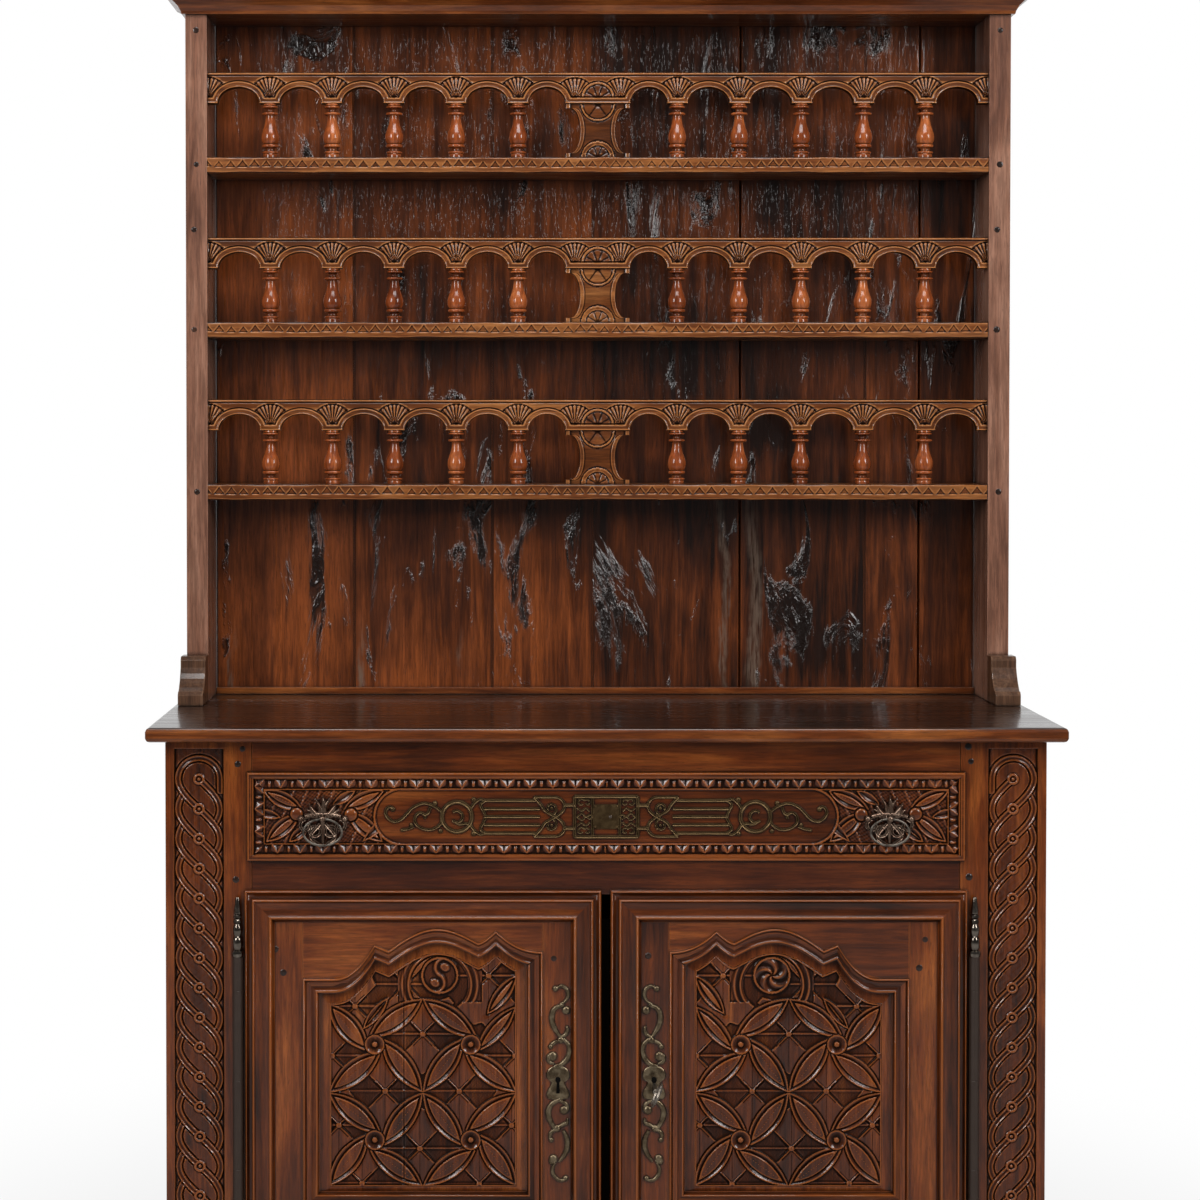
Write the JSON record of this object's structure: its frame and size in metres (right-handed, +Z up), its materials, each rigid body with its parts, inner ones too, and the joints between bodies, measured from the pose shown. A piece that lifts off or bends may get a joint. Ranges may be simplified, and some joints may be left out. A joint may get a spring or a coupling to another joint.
{
  "type": "dresser with plate-rack hutch",
  "caption": "Carved provincial dresser: base cupboard with a drawer and arched doors on tall hinge rods, and a plate-rack hutch with arcaded baluster galleries.",
  "frame": {"origin": "on the floor under the middle of the piece", "axes": "+X to the right seen from the front, -Y towards the viewer, +Z up"},
  "size_m": [1.4306, 0.573, 2.135],
  "materials": {
    "base_wood": "waxed reddish-brown oak, carved",
    "hutch_wood": "waxed warm brown oak",
    "back_wood": "dark stained old planks",
    "top_wood": "dark polished oak",
    "inner_wood": "bare oak",
    "iron": "worn dark iron",
    "bronze": "dull bronze"
  },
  "bodies": {
    "carcass": {"back_board_1": "back_wood", "back_board_2": "back_wood", "back_board_3": "back_wood", "back_board_4": "back_wood", "back_board_5": "back_wood", "back_skirting": "hutch_wood", "base_back": "inner_wood", "base_side_left": "base_wood", "base_side_right": "base_wood", "bottom_rail": "base_wood", "cornice": "hutch_wood", "counter_top": "top_wood", "cupboard_floor": "inner_wood", "cupboard_shelf": "inner_wood", "drawer_runner_left": "inner_wood", "drawer_runner_right": "inner_wood", "front_stile_left": "base_wood", "front_stile_right": "base_wood", "gallery_1": "hutch_wood", "gallery_2": "hutch_wood", "gallery_3": "hutch_wood", "hinge_rod_left": "iron", "hinge_rod_right": "iron", "hutch_foot_left": "hutch_wood", "hutch_foot_right": "hutch_wood", "hutch_side_left": "hutch_wood", "hutch_side_right": "hutch_wood", "hutch_top_board": "hutch_wood", "middle_rail": "base_wood", "plate_shelf_1": "hutch_wood", "plate_shelf_2": "hutch_wood", "plate_shelf_3": "hutch_wood", "rear_stile_left": "base_wood", "rear_stile_right": "base_wood", "top_rail": "base_wood"},
    "drawer": {"drawer_front": "base_wood", "drawer_side_left": "inner_wood", "drawer_side_right": "inner_wood", "drawer_back": "inner_wood", "drawer_bottom": "inner_wood", "drawer_fretwork": "bronze", "handle_plate_left": "iron", "handle_plate_right": "iron"},
    "ring_left": {"ring_pull_left": "iron"},
    "ring_right": {"ring_pull_right": "iron"},
    "door_left": {"door_left_hinge_stile": "base_wood", "door_left_lock_stile": "base_wood", "door_left_top_rail": "base_wood", "door_left_bottom_rail": "base_wood", "door_left_panel": "base_wood", "escutcheon_left": "iron"},
    "door_right": {"door_right_hinge_stile": "base_wood", "door_right_lock_stile": "base_wood", "door_right_top_rail": "base_wood", "door_right_bottom_rail": "base_wood", "door_right_panel": "base_wood", "escutcheon_right": "iron", "lock_case": "iron"},
    "key": {"door_key": "iron"},
    "bolt": {"lock_bolt": "iron"}
  },
  "joints": [
    {"name": "drawer_slide", "type": "slide", "parent": "carcass", "child": "drawer", "axis": [0, -1, 0], "range_m": [0, 0.33]},
    {"name": "ring_left_lift", "type": "hinge", "parent": "drawer", "child": "ring_left", "pos_m": [-0.417, -0.2141, 0.819], "axis": [-1, 0, 0], "range_deg": [0, 95]},
    {"name": "ring_right_lift", "type": "hinge", "parent": "drawer", "child": "ring_right", "pos_m": [0.417, -0.2141, 0.819], "axis": [-1, 0, 0], "range_deg": [0, 95]},
    {"name": "door_left_swing", "type": "hinge", "parent": "carcass", "child": "door_left", "pos_m": [-0.5428, -0.2078, 0.153], "axis": [0, 0, -1], "range_deg": [0, 160]},
    {"name": "door_right_swing", "type": "hinge", "parent": "carcass", "child": "door_right", "pos_m": [0.5428, -0.2078, 0.153], "axis": [0, 0, 1], "range_deg": [0, 160]},
    {"name": "key_turn", "type": "hinge", "parent": "door_right", "child": "key", "pos_m": [0.0715, -0.1985, 0.4255], "axis": [0, -1, 0], "range_deg": [0, 360]},
    {"name": "bolt_throw", "type": "slide", "parent": "door_right", "child": "bolt", "axis": [-1, 0, 0], "range_m": [0, 0.028]}
  ],
  "couplings": [
    {"joint": "key_turn", "follows": "bolt_throw", "rad_per_m": 224.4}
  ]
}
